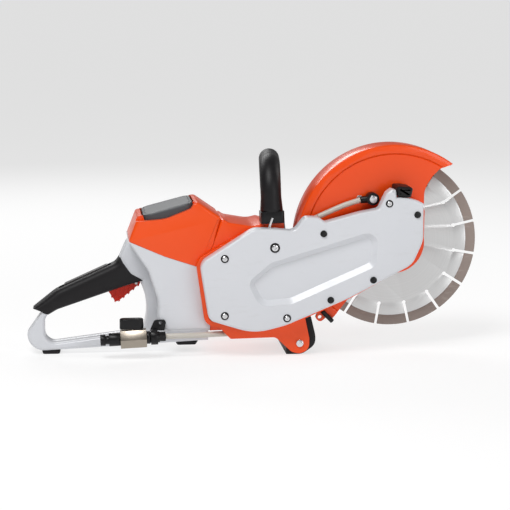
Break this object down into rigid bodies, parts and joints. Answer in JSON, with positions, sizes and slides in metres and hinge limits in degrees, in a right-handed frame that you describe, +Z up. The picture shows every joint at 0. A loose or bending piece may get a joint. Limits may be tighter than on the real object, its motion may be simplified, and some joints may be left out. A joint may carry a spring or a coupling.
{
  "type": "rescue saw",
  "caption": "Hand-held battery cut-off saw with a belt-driven segmented cutting wheel, a swinging guard, a wet-cutting hose, a rear grip and a front bow handle.",
  "frame": {"origin": "on the floor, under the middle of the saw as it stands on its skid and feet", "axes": "+X forwards, from the rear handle to the wheel; +Y to the operator's left; +Z up"},
  "size_m": [0.6, 0.182, 0.275],
  "materials": {
    "orange_casting": "satin paint",
    "orange_plastic": "fine texture",
    "white_plastic": "fine texture",
    "black_plastic": "fine texture",
    "black_rubber": "soft touch",
    "battery_grey": "fine texture",
    "battery_black": "fine texture",
    "red_plastic": "ribbed",
    "grey_plastic": "fine texture",
    "steel": "turned",
    "zinc_screws": "zinc plated",
    "black_steel": "black oxide",
    "aluminium": "as cast",
    "copper_steel": "laminated steel with copper coils",
    "wheel_steel": "satin",
    "diamond_bond": "sintered, matt",
    "nickel": "nickel plated brass",
    "hose_white": "translucent PVC",
    "belt_rubber": "ribbed"
  },
  "bodies": {
    "machine": {"arm_housing": "orange_casting", "battery_housing": "orange_plastic", "battery_well": "black_plastic", "belt_cover": "white_plastic", "contact_block": "black_plastic", "controller": "aluminium", "coupling_clip": "black_plastic", "cover_plugs": "black_plastic", "cover_screws": "zinc_screws", "front_housing": "orange_casting", "grip_sleeve": "black_rubber", "guard_retainer": "steel", "handle_bar": "black_steel", "handle_buffer": "black_rubber", "handle_mount_left": "black_plastic", "handle_mount_right": "black_plastic", "handle_pins": "steel", "handle_sleeve": "black_rubber", "hose_collar": "black_plastic", "hose_plug": "black_plastic", "housing_screws": "zinc_screws", "motor_bearings": "steel", "motor_case": "aluminium", "motor_stator": "copper_steel", "rear_housing_left": "white_plastic", "rear_housing_right": "white_plastic", "ribbed_belt": "belt_rubber", "rubber_feet": "black_rubber", "skid_pad": "black_rubber", "spindle_bearings": "steel", "support_pin": "zinc_screws", "switch": "black_plastic", "tension_arm": "steel", "valve_body": "nickel", "vent_cover": "black_plastic", "water_hose_lower": "hose_white", "water_hose_upper": "hose_white"},
    "wheel_set": {"spindle": "steel", "driven_pulley": "aluminium", "inner_washer": "steel", "outer_washer": "steel", "wheel_bolt": "zinc_screws", "wheel_core": "wheel_steel", "wheel_segments": "diamond_bond"},
    "rotor": {"motor_shaft": "steel", "motor_rotor": "steel", "cooling_fan": "black_plastic", "drive_pulley": "aluminium"},
    "roller": {"belt_roller": "black_plastic"},
    "guard": {"guard_shell": "orange_casting", "guard_grip": "black_rubber", "guard_screws": "zinc_screws", "guard_elbow": "black_plastic", "spray_nozzle": "black_plastic"},
    "trigger": {"trigger": "red_plastic"},
    "lockout": {"lockout_lever": "grey_plastic"},
    "battery": {"battery_case": "battery_black", "battery_cap": "battery_grey"},
    "release": {"release_button": "red_plastic"},
    "valve": {"valve_knob": "black_plastic"}
  },
  "joints": [
    {"name": "wheel_spin", "type": "hinge", "parent": "machine", "child": "wheel_set", "pos_m": [0.185, 0, 0.145], "axis": [0, 1, 0], "continuous": true},
    {"name": "motor_spin", "type": "hinge", "parent": "machine", "child": "rotor", "pos_m": [-0.008, 0, 0.086], "axis": [0, 1, 0], "continuous": true},
    {"name": "roller_spin", "type": "hinge", "parent": "machine", "child": "roller", "pos_m": [0.04417, 0, 0.07634], "axis": [0, 1, 0], "continuous": true},
    {"name": "guard_swing", "type": "hinge", "parent": "machine", "child": "guard", "pos_m": [0.185, 0, 0.145], "axis": [0, 1, 0], "range_deg": [0, 25], "deforming": ["water_hose_upper"]},
    {"name": "trigger_pull", "type": "hinge", "parent": "machine", "child": "trigger", "pos_m": [-0.156, -0.016, 0.093], "axis": [0, 1, 0], "range_deg": [0, 11], "stiffness_Nm_per_rad": 0.25, "springref_deg": -17.19},
    {"name": "lockout_press", "type": "hinge", "parent": "machine", "child": "lockout", "pos_m": [-0.196, -0.016, 0.111], "axis": [0, -1, 0], "range_deg": [0, 3], "stiffness_Nm_per_rad": 0.15, "springref_deg": -11.46},
    {"name": "battery_slide", "type": "slide", "parent": "machine", "child": "battery", "axis": [-0.2504, 0, 0.9681], "range_m": [0, 0.146]},
    {"name": "release_press", "type": "slide", "parent": "machine", "child": "release", "axis": [0, -1, 0], "range_m": [0, 0.0025], "stiffness_N_per_m": 400, "springref_m": -0.004},
    {"name": "valve_turn", "type": "hinge", "parent": "machine", "child": "valve", "pos_m": [-0.164, -0.07, 0.0475], "axis": [0, 0, 1], "range_deg": [0, 90]}
  ],
  "couplings": [
    {"joint": "motor_spin", "follows": "wheel_spin", "ratio": 1.6667},
    {"joint": "roller_spin", "follows": "wheel_spin", "ratio": -2.5}
  ]
}
